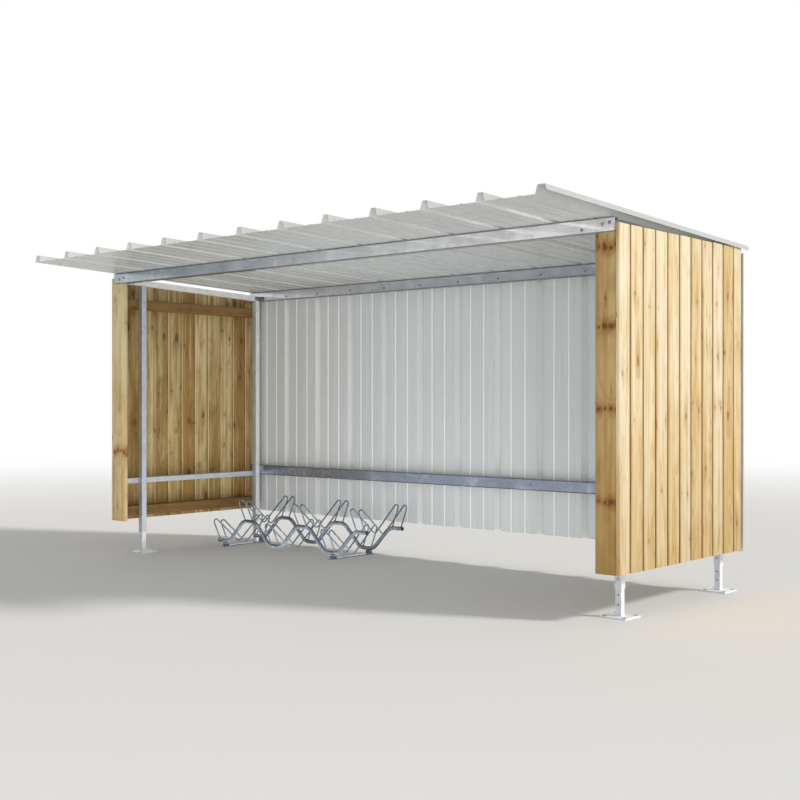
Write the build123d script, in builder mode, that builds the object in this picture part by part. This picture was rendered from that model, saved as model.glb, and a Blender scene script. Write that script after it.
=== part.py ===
"""Open-fronted cycle shelter: two boarded end panels on a galvanised frame, a ribbed steel roof and
rear wall, and a free-standing two-level wheel rack on the floor inside.

Millimetres. X runs along the length, -Y is the open front, Z is up, the feet stand on Z = 0.
"""
import os
from math import asin, atan2, cos, hypot, pi, radians, remainder, sin, tan
from build123d import *

os.makedirs("parts", exist_ok=True)

SEAT = 0.3  # clearance left between pieces that bear on each other

# top of the front beam, which carries the roof's flat pans
BEAM_TOP = 1967

# end panels: outer board faces, boards and their joints
LEFT_FACE = -2054
RIGHT_FACE = 2045
PANEL_FRONT = -388
PANEL_DEPTH = 1333
BOARDS = 11
BOARD_THICK = 20
BOARD_PITCH = 125
FIRST_BOARD = 106  # the board at the open front is cut narrower
BOARD_BOTTOM = 232
BOARD_DROP = 29  # the boards' top below the front beam's top
JOINT_WIDTH = 9
JOINT_DEPTH = 8
INNER_JOINT_WIDTH = 4
INNER_JOINT_DEPTH = 3
LEFT_RETURN_WIDTH = 140
RIGHT_RETURN_WIDTH = 116
BATTEN_HEIGHT = 68
UPPER_BATTEN_DROP = 146  # the batten's top below the boards' top
LOWER_BATTEN_RISE = 30  # the batten's underside above the boards' bottom
SIDE_RAIL_BOTTOM = 492
SIDE_RAIL_HEIGHT = 35

# steel frame
POST = 40
POST_WALL = 2.5
POST_CORNER = 3
LEFT_POST_INSET = 100  # from the outer board face to the post's outer face
RIGHT_POST_INSET = 83
FRONT_POST_Y = -210
REAR_POST_Y = 868
SLEEVE_END = 142
LEG = 34
LEG_WALL = 3
LEG_CORNER = 2.5
LEG_TOP = 420
PLATE = 150
PLATE_THICK = 8
PLATE_HOLE = 14
PLATE_HOLE_PITCH = 112
ADJUST_HOLE = 9
LEG_HOLES = (63, 112, 189)  # heights; the last lies behind the hole in the post's end
POST_HOLE_DROP = 195  # the upper hole below the front beam's top
POST_HOLE_PITCH = 180
HOLE_SIDES = 8  # small drilled holes are cut with few sides
BEAM_HEIGHT = 72
BEAM_DEPTH = 40
BEAM_WALL = 3
BEAM_LIP = 14
BEAM_END_GAP = 8  # beam end to the inner face of the boards
MID_RAIL_BOTTOM = 503
TOP_RAIL_HEIGHT = 38
CLEAT = 46
CLEAT_WALL = 4
CLEAT_MARGIN = 4  # the cleat stops short of the rail's edges by this much

# ribbed steel sheet
SLOPE = radians(2.2)
SHEET = 1.2
RIB_PITCH = 1000 / 3
RIB_HEIGHT = 42
RIB_TOP = 30
RIB_FLANK = 12.5
LAP_DROP = 26  # height of the short flank where a sheet ends on its rib
EDGE_CREST = 40  # the last rib is wider, so that its short flank hangs outside the boards
EDGE_RIB_INSET = 24  # from the right face to the middle of the last rib, which caps the boards' edge
SWAGE_OFFSET = 55
SWAGE_TOP = 10
SWAGE_FLANK = 6
SWAGE_HEIGHT = 3
ROOF_FRONT = -1025
ROOF_REAR = 1025
SHEETS = 4
SHEET_RIBS = 3
WALL_BOTTOM = 221

# wheel rack
RACK_END = -337  # right end of the rack's tubes
RACK_Y = 589
RACK_GAUGE = 356  # between the two tubes
TUBE = 27
TUBE_WALL = 2.6
TUBE_SIDES = 12  # the bent tubes and wires have few sides, so that the rack stays light
WIRE_SIDES = 8
BEND_POINTS = 2
PLACE_PITCH = 277  # from a high place to the next low one
PLACE_PAIRS = 3  # each is a high place and the low one to its left
HIGH_TUBE = 198
LOW_TUBE = 41
TUBE_BEND = 55
TUBE_FLAT = 62  # half length of each level run
END_FLAT = 55
WIRE = 10
WHEEL_SLOT = 68  # clear width between the two wires of a place
HAIRPIN_REACH = 220  # from the rack's middle to the centre of a hairpin's bend
HAIRPIN_LIFT = 138  # from the tube's axis up to the same centre
HAIRPIN_BEND = 20
HAIRPIN_CORNERS = 5
VALLEY_DROP = 28  # from the tube's axis down to where the V's two lines meet
VALLEY_BEND = 28
TIE_WIDTH = 40
TIE_THICK = 5
TIE_OVERHANG = 34
TIE_SHIFT = 20  # from a low place's middle to the right
FOOT_BLOCK = 24

# dependent sizes
board_top = BEAM_TOP - BOARD_DROP
upper_batten_top = board_top - UPPER_BATTEN_DROP
lower_batten_top = BOARD_BOTTOM + LOWER_BATTEN_RISE + BATTEN_HEIGHT
post_holes = (BEAM_TOP - POST_HOLE_DROP - POST_HOLE_PITCH, BEAM_TOP - POST_HOLE_DROP)
left_inner = LEFT_FACE + BOARD_THICK
right_inner = RIGHT_FACE - BOARD_THICK
left_post_x = LEFT_FACE + LEFT_POST_INSET + POST / 2
right_post_x = RIGHT_FACE - RIGHT_POST_INSET - POST / 2
beam_front = PANEL_FRONT
beam_back = beam_front + BEAM_DEPTH
rear_beam_front = REAR_POST_Y + POST / 2 + SEAT
rear_beam_back = rear_beam_front + BEAM_DEPTH
rail_run = rear_beam_front - beam_back - 2 * SEAT
wall_face = rear_beam_back + SEAT


def roof_under(y):
    """Underside of the roof's flat pans at depth y."""
    return BEAM_TOP + SEAT - (y - beam_back) * tan(SLOPE)


rear_beam_top = roof_under(rear_beam_back) - SEAT
wall_top = roof_under(ROOF_REAR) - 1


def rail_under(y):
    """Underside of the sloping top rails at depth y."""
    return BEAM_TOP - BEAM_HEIGHT - (y - beam_back) * tan(SLOPE)


def save(part, name):
    part.part.label = name
    export_step(part.part, "parts/" + name + ".step")


# boarded end panels
joints = [PANEL_FRONT + FIRST_BOARD + BOARD_PITCH * n for n in range(BOARDS - 1)]
board_height = board_top - BOARD_BOTTOM


def cladding(outer, inner, sloped):
    """Vertical boards as one sheet, with the shadow gap of every joint cut in both faces."""
    with BuildPart() as boards:
        with BuildSketch(Plane.XY.offset(BOARD_BOTTOM)):
            with Locations(((outer + inner) / 2, PANEL_FRONT + PANEL_DEPTH / 2)):
                Rectangle(BOARD_THICK, PANEL_DEPTH)
            with Locations(*[(outer, y) for y in joints]):
                Rectangle(2 * JOINT_DEPTH, JOINT_WIDTH, mode=Mode.SUBTRACT)
            with Locations(*[(inner, y) for y in joints]):
                Rectangle(2 * INNER_JOINT_DEPTH, INNER_JOINT_WIDTH, mode=Mode.SUBTRACT)
        extrude(amount=board_height)
        if sloped:
            cut = Plane(origin=(outer, PANEL_FRONT, board_top), x_dir=(1, 0, 0),
                        z_dir=(0, sin(SLOPE), cos(SLOPE)))
            split(bisect_by=cut, keep=Keep.BOTTOM)
    return boards


# the left boards are cut to the roof's fall, the right ones stand level up into the last rib
save(cladding(LEFT_FACE, left_inner, True), "left_side_boards")
save(cladding(RIGHT_FACE, right_inner, False), "right_side_boards")


def timber(x0, x1, y0, y1, z0, z1, soften=1.5):
    """A planed length of timber with its long edges eased."""
    with BuildPart() as piece:
        with Locations(((x0 + x1) / 2, (y0 + y1) / 2, (z0 + z1) / 2)):
            Box(abs(x1 - x0), y1 - y0, z1 - z0)
        longest = max(abs(x1 - x0), y1 - y0, z1 - z0)
        long_edges = [e for e in piece.edges() if abs(e.length - longest) < 0.01]
        chamfer(long_edges, soften)
    return piece


return_top = BEAM_TOP - BEAM_HEIGHT - SEAT
return_back = PANEL_FRONT + BOARD_THICK
save(timber(left_inner + SEAT, left_inner + LEFT_RETURN_WIDTH, PANEL_FRONT, return_back,
            BOARD_BOTTOM, return_top), "left_return_board")
save(timber(right_inner - RIGHT_RETURN_WIDTH, right_inner - SEAT, PANEL_FRONT, return_back,
            BOARD_BOTTOM, return_top), "right_return_board")

batten_front = return_back + SEAT
batten_rear = rear_beam_front - SEAT
for side, face, inward, inset in (("left", left_inner, 1, LEFT_POST_INSET),
                                  ("right", right_inner, -1, RIGHT_POST_INSET)):
    batten_thick = inset - BOARD_THICK - 2 * SEAT
    near = face + inward * SEAT
    far = near + inward * batten_thick
    low, high = min(near, far), max(near, far)
    for place, top in (("upper", upper_batten_top), ("lower", lower_batten_top)):
        save(timber(low, high, batten_front, batten_rear, top - BATTEN_HEIGHT, top),
             side + "_" + place + "_batten")
    with BuildPart() as side_rail:
        with BuildSketch(Plane.XZ.offset(-batten_front)):
            with Locations(((near + far) / 2, SIDE_RAIL_BOTTOM + SIDE_RAIL_HEIGHT / 2)):
                Rectangle(batten_thick, SIDE_RAIL_HEIGHT)
                Rectangle(batten_thick - 2 * BEAM_WALL, SIDE_RAIL_HEIGHT - 2 * BEAM_WALL,
                          mode=Mode.SUBTRACT)
        extrude(amount=-(batten_rear - batten_front))
    save(side_rail, side + "_side_rail")


# posts and adjustable feet
def post(x, y):
    """Square tube cut to the slope of the top rail, drilled on its long faces."""
    with BuildPart() as tube:
        with BuildSketch(Plane.XY.offset(SLEEVE_END)):
            with Locations((x, y)):
                RectangleRounded(POST, POST, POST_CORNER)
                Rectangle(POST - 2 * POST_WALL, POST - 2 * POST_WALL, mode=Mode.SUBTRACT)
        extrude(amount=BEAM_TOP - SLEEVE_END)
        cut = Plane(origin=(x, y, rail_under(y) - SEAT), x_dir=(1, 0, 0),
                    z_dir=(0, sin(SLOPE), cos(SLOPE)))
        split(bisect_by=cut, keep=Keep.BOTTOM)
        with BuildSketch(Plane.YZ.offset(x)):
            with Locations(*[(y, z) for z in post_holes]):
                RegularPolygon(ADJUST_HOLE / 2, HOLE_SIDES)
        extrude(amount=POST, both=True, mode=Mode.SUBTRACT)
        with BuildSketch(Plane.XZ.offset(-y)):
            with Locations((x, LEG_HOLES[-1])):
                RegularPolygon(ADJUST_HOLE / 2, HOLE_SIDES)
        extrude(amount=POST, both=True, mode=Mode.SUBTRACT)
    return tube


def foot(x, y):
    """Leg tube sliding in the post, on a square base plate with four bolt holes."""
    with BuildPart() as leg:
        with BuildSketch():
            with Locations((x, y)):
                Rectangle(PLATE, PLATE)
                with GridLocations(PLATE_HOLE_PITCH, PLATE_HOLE_PITCH, 2, 2):
                    Circle(PLATE_HOLE / 2, mode=Mode.SUBTRACT)
        extrude(amount=PLATE_THICK)
        with BuildSketch(Plane.XY.offset(PLATE_THICK)):
            with Locations((x, y)):
                RectangleRounded(LEG, LEG, LEG_CORNER)
                Rectangle(LEG - 2 * LEG_WALL, LEG - 2 * LEG_WALL, mode=Mode.SUBTRACT)
        extrude(amount=LEG_TOP - PLATE_THICK)
        with BuildSketch(Plane.XZ.offset(-y)):
            with Locations(*[(x, z) for z in LEG_HOLES]):
                RegularPolygon(ADJUST_HOLE / 2, HOLE_SIDES)
        extrude(amount=LEG, both=True, mode=Mode.SUBTRACT)
    return leg


for side, x in (("left", left_post_x), ("right", right_post_x)):
    for end, y in (("front", FRONT_POST_Y), ("rear", REAR_POST_Y)):
        save(post(x, y), side + "_" + end + "_post")
        save(foot(x, y), side + "_" + end + "_foot")


# beams and rails
def lipped_channel(y, top):
    """Outline of a C section whose web faces the front, its bottom flange at top - height."""
    with BuildSketch() as section:
        with Locations((y + BEAM_DEPTH / 2, top - BEAM_HEIGHT / 2)):
            Rectangle(BEAM_DEPTH, BEAM_HEIGHT)
            with Locations((BEAM_WALL, 0)):
                Rectangle(BEAM_DEPTH, BEAM_HEIGHT - 2 * BEAM_LIP, mode=Mode.SUBTRACT)
            Rectangle(BEAM_DEPTH - 2 * BEAM_WALL, BEAM_HEIGHT - 2 * BEAM_WALL,
                      mode=Mode.SUBTRACT)
    return section.sketch


def beam(x0, x1, y, top):
    with BuildPart() as channel:
        with BuildSketch(Plane.YZ.offset(x0)):
            add(lipped_channel(y, top))
        extrude(amount=x1 - x0)
    return channel


beam_left = left_inner + BEAM_END_GAP
beam_right = right_inner - BEAM_END_GAP
save(beam(beam_left, beam_right, beam_front, BEAM_TOP), "front_beam")
save(beam(beam_left, beam_right, rear_beam_front, rear_beam_top), "rear_beam")
save(beam(beam_left, beam_right, rear_beam_front, MID_RAIL_BOTTOM + BEAM_HEIGHT), "rear_mid_rail")

for side, x, inward in (("left", left_post_x, 1), ("right", right_post_x, -1)):
    rail_start = beam_back + SEAT
    with BuildPart() as top_rail:
        with BuildSketch(Plane.YZ.offset(x - POST / 2)):
            with BuildLine():
                Polyline((rail_start, rail_under(rail_start)),
                         (rail_start + rail_run, rail_under(rail_start + rail_run)),
                         (rail_start + rail_run, rail_under(rail_start + rail_run) + TOP_RAIL_HEIGHT),
                         (rail_start, rail_under(rail_start) + TOP_RAIL_HEIGHT), close=True)
            make_face()
        extrude(amount=POST)
        with BuildSketch(Plane.YZ.offset(x - POST / 2 + POST_WALL)):
            with BuildLine():
                Polyline((rail_start, rail_under(rail_start) + POST_WALL),
                         (rail_start + rail_run, rail_under(rail_start + rail_run) + POST_WALL),
                         (rail_start + rail_run,
                          rail_under(rail_start + rail_run) + TOP_RAIL_HEIGHT - POST_WALL),
                         (rail_start, rail_under(rail_start) + TOP_RAIL_HEIGHT - POST_WALL),
                         close=True)
            make_face()
        extrude(amount=POST - 2 * POST_WALL, mode=Mode.SUBTRACT)
    save(top_rail, side + "_top_rail")

    # angle cleats in the corners between the rail's inner face and the two beams
    corner_x = x + inward * (POST / 2 + SEAT)
    for end, corner_y, along in (("front", beam_back + SEAT, 1), ("rear", rear_beam_front - SEAT, -1)):
        base = rail_under(corner_y) + CLEAT_MARGIN
        with BuildPart() as cleat:
            with BuildSketch(Plane.XY.offset(base)):
                with Locations((corner_x + inward * CLEAT / 2, corner_y + along * CLEAT / 2)):
                    Rectangle(CLEAT, CLEAT)
                with Locations((corner_x + inward * (CLEAT / 2 + CLEAT_WALL),
                                corner_y + along * (CLEAT / 2 + CLEAT_WALL))):
                    Rectangle(CLEAT, CLEAT, mode=Mode.SUBTRACT)
            extrude(amount=TOP_RAIL_HEIGHT - 2 * CLEAT_MARGIN)
        save(cleat, side + "_" + end + "_cleat")


# ribbed sheets
def pan_points(rib_x):
    """Profile across the pan to the left of a rib, with its two small swages."""
    points = []
    middle = rib_x - RIB_PITCH / 2
    for swage in (middle - SWAGE_OFFSET, middle + SWAGE_OFFSET):
        half = SWAGE_TOP / 2
        points += [(swage - half - SWAGE_FLANK, 0), (swage - half, SWAGE_HEIGHT)]
        points += [(swage + half, SWAGE_HEIGHT), (swage + half + SWAGE_FLANK, 0)]
    return points


def rib_points(rib_x, right_half):
    left_arris = rib_x - RIB_TOP / 2
    return [(left_arris - RIB_FLANK, 0), (left_arris, RIB_HEIGHT), (rib_x + right_half, RIB_HEIGHT)]


lap_run = RIB_FLANK * LAP_DROP / RIB_HEIGHT


def sheet_profile(first_rib, start, edge):
    """Closed outline of one sheet; it ends in the short flank of its last rib, edge from its middle."""
    half = RIB_TOP / 2
    under = list(start)
    for n in range(SHEET_RIBS - 1):
        rib_x = first_rib + n * RIB_PITCH
        under += pan_points(rib_x) + rib_points(rib_x, half)
        under.append((rib_x + half + RIB_FLANK, 0))
    last_x = first_rib + (SHEET_RIBS - 1) * RIB_PITCH
    under += pan_points(last_x) + rib_points(last_x, edge)
    under.append((last_x + edge + lap_run, RIB_HEIGHT - LAP_DROP))
    over = [(px, pz + SHEET) for px, pz in reversed(under)]
    return under + over


def lap_start(rib_x):
    """Foot of the flank that carries on from the short flank of the sheet before."""
    half = RIB_TOP / 2
    return [(rib_x + half + lap_run + SEAT, RIB_HEIGHT - LAP_DROP - SEAT * RIB_HEIGHT / RIB_FLANK),
            (rib_x + half + RIB_FLANK, 0)]


def open_start(rib_x):
    """A whole first rib, which ends at the foot of its outer flank."""
    return rib_points(rib_x, RIB_TOP / 2) + [(rib_x + RIB_TOP / 2 + RIB_FLANK, 0)]


def sheet(outline, plane, length):
    with BuildPart() as piece:
        with BuildSketch(plane):
            with BuildLine():
                Polyline(*outline, close=True)
            make_face()
        extrude(amount=length)
    return piece


last_rib = RIGHT_FACE - EDGE_RIB_INSET
ribs = [last_rib - n * RIB_PITCH for n in range(SHEETS * SHEET_RIBS, -1, -1)]
roof_back = ROOF_REAR - (RIB_HEIGHT + SHEET) * sin(SLOPE)
roof_plane = Plane(origin=(0, roof_back, roof_under(roof_back)), x_dir=(1, 0, 0),
                   z_dir=(0, -cos(SLOPE), sin(SLOPE)))
roof_length = (roof_back - ROOF_FRONT) / cos(SLOPE)
# the rear wall has the same sheets upright, their ribs outward and in line with the roof's
wall_plane = Plane(origin=(0, wall_face, WALL_BOTTOM), x_dir=(1, 0, 0), z_dir=(0, 0, 1))
wall_length = wall_top - WALL_BOTTOM
for n in range(SHEETS):
    before = ribs[n * SHEET_RIBS]
    start = open_start(before) if n == 0 else lap_start(before)
    edge = RIB_TOP / 2 if n < SHEETS - 1 else EDGE_CREST - RIB_TOP / 2
    outline = sheet_profile(ribs[n * SHEET_RIBS + 1], start, edge)
    save(sheet(outline, roof_plane, roof_length), "roof_sheet_" + str(n + 1))
    save(sheet(outline, wall_plane, wall_length), "wall_sheet_" + str(n + 1))


# wheel rack
high_places = [RACK_END - END_FLAT - 2 * PLACE_PITCH * n for n in range(PLACE_PAIRS)]
low_places = [x - PLACE_PITCH for x in high_places]
tube_y = (RACK_Y - RACK_GAUGE / 2, RACK_Y + RACK_GAUGE / 2)
left_end = low_places[-1] - END_FLAT


def eased(corners, radius):
    """Path in one plane with each inner corner cut into short runs along an arc of that radius."""
    points = [corners[0]]
    for before, here, after in zip(corners, corners[1:], corners[2:]):
        into = atan2(here[1] - before[1], here[0] - before[0])
        turn = remainder(atan2(after[1] - here[1], after[0] - here[0]) - into, 2 * pi)
        out = radius / cos(turn / 2) * (1 if turn > 0 else -1)
        centre = (here[0] - out * sin(into + turn / 2), here[1] + out * cos(into + turn / 2))
        step = turn / BEND_POINTS
        reach = radius / cos(step / 2) * (1 if turn > 0 else -1)
        for n in range(BEND_POINTS):
            angle = into + step * (n + 0.5)
            points.append((centre[0] + reach * sin(angle), centre[1] - reach * cos(angle)))
    return points + [corners[-1]]


def wave(y):
    """Tube bent up and down in one plane, level at each wheel place."""
    knots = [(left_end, LOW_TUBE)]
    for x in sorted(high_places + low_places):
        z = HIGH_TUBE if x in high_places else LOW_TUBE
        if x > low_places[-1]:
            knots.append((x - TUBE_FLAT, z))
        if x < high_places[0]:
            knots.append((x + TUBE_FLAT, z))
    knots.append((RACK_END, HIGH_TUBE))
    with BuildPart() as tube:
        with BuildLine(Plane.XZ.offset(-y)) as path:
            Polyline(*eased(knots, TUBE_BEND))
        with BuildSketch(Plane(origin=(left_end, y, LOW_TUBE), x_dir=(0, 1, 0), z_dir=(1, 0, 0))):
            RegularPolygon(TUBE / 2, TUBE_SIDES, rotation=180 / TUBE_SIDES)
            RegularPolygon(TUBE / 2 - TUBE_WALL, TUBE_SIDES, rotation=180 / TUBE_SIDES,
                           mode=Mode.SUBTRACT)
        sweep(path=path.line, transition=Transition.RIGHT)
    return tube


save(wave(tube_y[0]), "rack_front_tube")
save(wave(tube_y[1]), "rack_rear_tube")


def hairpin(foot, centre, valley):
    """Corners of the bend between the leg that stands on a tube and the line down to the valley."""
    to_centre = (centre[0] - foot[0], centre[1] - foot[1])
    leg = atan2(to_centre[1], to_centre[0]) - asin(HAIRPIN_BEND / hypot(*to_centre))
    from_valley = (centre[0] - valley[0], centre[1] - valley[1])
    line = atan2(from_valley[1], from_valley[0]) + asin(HAIRPIN_BEND / hypot(*from_valley)) + pi
    turn = (line - leg) / HAIRPIN_CORNERS
    out = HAIRPIN_BEND / cos(turn / 2)
    middles = [leg + turn * (n + 0.5) for n in range(HAIRPIN_CORNERS)]
    return [(centre[0] + out * sin(m), centre[1] - out * cos(m)) for m in middles]


def place_wires(x, tube_z):
    """The pair of wires that hold one wheel: a hairpin over each tube, a V between them."""
    rear_foot = (RACK_GAUGE / 2, tube_z)
    centre = (HAIRPIN_REACH, tube_z + HAIRPIN_LIFT)
    valley = (0, tube_z - VALLEY_DROP)
    half = [rear_foot] + hairpin(rear_foot, centre, valley)
    near_valley = eased([half[-1], valley, (-half[-1][0], half[-1][1])], VALLEY_BEND)[1:-1]
    whole = half + near_valley + [(-px, pz) for px, pz in reversed(half)]
    with BuildPart() as pair:
        for wire_x in (x - WHEEL_SLOT / 2 - WIRE / 2, x + WHEEL_SLOT / 2 + WIRE / 2):
            with BuildLine(Plane.YZ.offset(wire_x)) as path:
                Polyline(*[(RACK_Y + px, pz) for px, pz in whole])
            with BuildSketch(Plane(origin=path.line @ 0, x_dir=(1, 0, 0), z_dir=path.line % 0)):
                RegularPolygon(WIRE / 2, WIRE_SIDES, rotation=180 / WIRE_SIDES)
            sweep(path=path.line, transition=Transition.RIGHT)
        # the wires end on the tubes' upper sides
        with BuildSketch(Plane.YZ.offset(x - WHEEL_SLOT)):
            with Locations(*[(y, tube_z) for y in tube_y]):
                RegularPolygon(TUBE / 2 + SEAT, TUBE_SIDES, rotation=180 / TUBE_SIDES)
        extrude(amount=2 * WHEEL_SLOT, mode=Mode.SUBTRACT)
    return pair


places = sorted(high_places + low_places)
for number, x in enumerate(places, start=1):
    tube_z = HIGH_TUBE if x in high_places else LOW_TUBE
    save(place_wires(x, tube_z), "rack_wires_" + str(number))


def tie(x):
    """Flat floor bar across the rack with a foot block under each tube."""
    with BuildPart() as bar:
        with BuildSketch():
            with Locations((x, RACK_Y)):
                Rectangle(TIE_WIDTH, RACK_GAUGE + 2 * TIE_OVERHANG)
        extrude(amount=TIE_THICK)
        with BuildSketch(Plane.XY.offset(TIE_THICK)):
            with Locations(*[(x, y) for y in tube_y]):
                Rectangle(TIE_WIDTH, FOOT_BLOCK)
        extrude(amount=LOW_TUBE - TUBE / 2 - SEAT - TIE_THICK)
    return bar


save(tie(low_places[0] + TIE_SHIFT), "rack_right_floor_bar")
save(tie(low_places[-1] + TIE_SHIFT), "rack_left_floor_bar")
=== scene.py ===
"""Looks of the cycle shelter: timber, galvanised steel, coated sheet, fixings and the wheel rack.

Metres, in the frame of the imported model.
"""
import random
from math import asin, atan2, cos, hypot, pi, radians, remainder, sin, tan

import bpy
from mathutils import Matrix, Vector


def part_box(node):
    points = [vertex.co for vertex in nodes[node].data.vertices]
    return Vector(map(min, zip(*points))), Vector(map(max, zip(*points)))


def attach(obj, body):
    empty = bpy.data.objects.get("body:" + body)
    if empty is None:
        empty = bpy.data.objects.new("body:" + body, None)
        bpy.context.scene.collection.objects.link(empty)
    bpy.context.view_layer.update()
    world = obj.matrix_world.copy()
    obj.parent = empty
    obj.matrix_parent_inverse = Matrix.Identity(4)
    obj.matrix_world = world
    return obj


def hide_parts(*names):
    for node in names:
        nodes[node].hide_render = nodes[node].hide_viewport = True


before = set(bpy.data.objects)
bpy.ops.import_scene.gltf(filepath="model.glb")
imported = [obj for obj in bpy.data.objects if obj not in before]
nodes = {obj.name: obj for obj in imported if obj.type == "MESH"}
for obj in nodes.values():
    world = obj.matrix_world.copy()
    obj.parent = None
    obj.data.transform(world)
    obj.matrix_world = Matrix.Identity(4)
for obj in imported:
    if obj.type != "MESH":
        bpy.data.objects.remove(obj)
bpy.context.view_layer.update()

MM = 0.001
X, Y, Z = range(3)
SLOPE = radians(2.2)  # the roof's fall towards the back


def middle(node, axis):
    """Middle of a node's box along one axis."""
    low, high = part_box(node)
    return (low[axis] + high[axis]) / 2


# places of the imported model
LEFT_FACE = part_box("left_side_boards")[0][X]
panel_low, panel_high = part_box("right_side_boards")
RIGHT_FACE = panel_high[X]
PANEL_FRONT, PANEL_REAR = panel_low[Y], panel_high[Y]
PANEL_BOTTOM, PANEL_TOP = panel_low[Z], panel_high[Z]
LEFT_POST, RIGHT_POST = middle("left_front_post", X), middle("right_front_post", X)
FRONT_POST_Y, REAR_POST_Y = middle("left_front_post", Y), middle("left_rear_post", Y)
LEGS = [(x, y) for x in (LEFT_POST, RIGHT_POST) for y in (FRONT_POST_Y, REAR_POST_Y)]
(_, BEAM_FRONT, BEAM_BOTTOM), (_, BEAM_BACK, BEAM_TOP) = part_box("front_beam")
(_, REAR_FACE, REAR_BOTTOM), (_, REAR_BACK, REAR_TOP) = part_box("rear_beam")
(_, _, RAIL_BOTTOM), (_, _, RAIL_TOP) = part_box("rear_mid_rail")
RAIL_MIDDLE = (RAIL_BOTTOM + RAIL_TOP) / 2
WALL_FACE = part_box("wall_sheet_1")[0][Y]
POST_HALF = 20 * MM
LEG_HALF, LEG_BORE_HALF = 17.2 * MM, 15.6 * MM
BASE_PLATE = 8 * MM
BOLT_OFFSET = 56 * MM  # from a leg's axis to a base plate's bolt holes, along X and along Y
SHEET = 1.2 * MM
RIB_HEIGHT = 42 * MM
RIB_PITCH = 1 / 3
RIBS = 13
LAST_RIB = RIGHT_FACE - 24 * MM


class Nodes:
    """Short calls for the shader nodes that the finishes, the floor and the background share."""

    def __init__(self, tree):
        self.tree = tree
        tree.nodes.clear()

    def put(self, value, socket):
        if isinstance(value, bpy.types.NodeSocket):
            self.tree.links.new(value, socket)
        else:
            socket.default_value = value

    def new(self, kind, **values):
        """A node of a kind, with the values and links of its named inputs."""
        node = self.tree.nodes.new("ShaderNode" + kind)
        for name, value in values.items():
            self.put(value, node.inputs[name])
        return node

    def fill(self, node, *values):
        """Gives a node's first inputs their values or links."""
        for value, socket in zip(values, node.inputs):
            self.put(value, socket)
        return node.outputs

    def math(self, operation, a, b=0.0, clamp=False):
        node = self.new("Math")
        node.operation = operation
        node.use_clamp = clamp
        return self.fill(node, a, b)[0]

    def add(self, a, b):
        return self.math("ADD", a, b)

    def times(self, a, b):
        return self.math("MULTIPLY", a, b)

    def clamped(self, a, b):
        return self.math("MULTIPLY", a, b, clamp=True)

    def length(self, a, b):
        return self.math("SQRT", self.add(self.times(a, a), self.times(b, b)))

    def spread(self, value, low, high, to_low=0.0, to_high=1.0):
        return self.fill(self.new("MapRange"), value, low, high, to_low, to_high)[0]

    def soft(self, value, low, high, to_low=0.0, to_high=1.0):
        """Spread, with an eased start and end."""
        node = self.new("MapRange")
        node.interpolation_type = "SMOOTHSTEP"
        return self.fill(node, value, low, high, to_low, to_high)[0]

    def mixed(self, amount, first, second):
        return self.fill(self.new("MixShader"), amount, first.outputs[0], second.outputs[0])[0]


class Shader(Nodes):
    """A material with one surface, and the texture and colour nodes for it."""

    def __init__(self, name):
        self.material = bpy.data.materials.new(name)
        self.material.use_nodes = True
        super().__init__(self.material.node_tree)
        self.surface = self.new("BsdfPrincipled")
        self.new("OutputMaterial", Surface=self.surface.outputs[0])

    def set(self, **values):
        for name, value in values.items():
            self.put(value, self.surface.inputs[name.replace("_", " ")])

    def object_place(self):
        return self.new("TexCoord").outputs["Object"]

    def normal(self):
        return self.new("NewGeometry").outputs["Normal"]

    def attribute(self, name, output):
        node = self.new("Attribute")
        node.attribute_name = name
        return node.outputs[output]

    def split(self, vector):
        return self.fill(self.new("SeparateXYZ"), vector)

    def join(self, x, y, z=0.0):
        return self.fill(self.new("CombineXYZ"), x, y, z)[0]

    def scaled(self, vector, scale):
        node = self.new("VectorMath")
        node.operation = "MULTIPLY"
        return self.fill(node, vector, scale)[0]

    def noise(self, vector, scale, detail=2.0, rough=0.5, distortion=0.0):
        node = self.new("TexNoise", Vector=vector, Scale=scale, Detail=detail, Roughness=rough,
                        Distortion=distortion)
        return node.outputs[0]

    def cells(self, vector, scale, randomness=1.0, flat=False):
        node = self.new("TexVoronoi")
        if flat:
            node.voronoi_dimensions = "2D"
        self.put(vector, node.inputs["Vector"])
        self.put(scale, node.inputs["Scale"])
        self.put(randomness, node.inputs["Randomness"])
        return node.outputs

    def blend(self, amount, first, second, how="MIX"):
        node = self.new("Mix")
        node.data_type = "RGBA"
        node.blend_type = how
        self.put(amount, node.inputs[0])
        for value, socket in ((first, node.inputs[6]), (second, node.inputs[7])):
            self.put(value if isinstance(value, bpy.types.NodeSocket) else (*value, 1.0), socket)
        return node.outputs[2]

    def tinted(self, amount, colour, tint):
        """The colour, darkened towards its product with a tint."""
        return self.blend(amount, colour, self.blend(1.0, colour, tint, "MULTIPLY"))

    def levelled(self, colour, level):
        """The colour, times a grey level."""
        return self.blend(1.0, colour, self.join(level, level, level), "MULTIPLY")

    def bump(self, height, distance, strength=1.0, under=None):
        node = self.new("Bump", Height=height, Distance=distance, Strength=strength)
        if under is not None:
            self.put(under, node.inputs["Normal"])
        return node.outputs[0]


# timber finishes
# cells in which a knot may lie: their width and length, and the smallest and largest radius of the knot
LARGE_KNOTS = (85 * MM, 310 * MM, 3.5 * MM, 10.5 * MM)
SMALL_KNOTS = (52 * MM, 190 * MM, 1.5 * MM, 4.2 * MM)
SMALL_KNOT_SHARE = 0.11
WHORL_START, WHORL_PITCH = 0.516, 34 * MM
RING_WIDTH = 12.5 * MM

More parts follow.
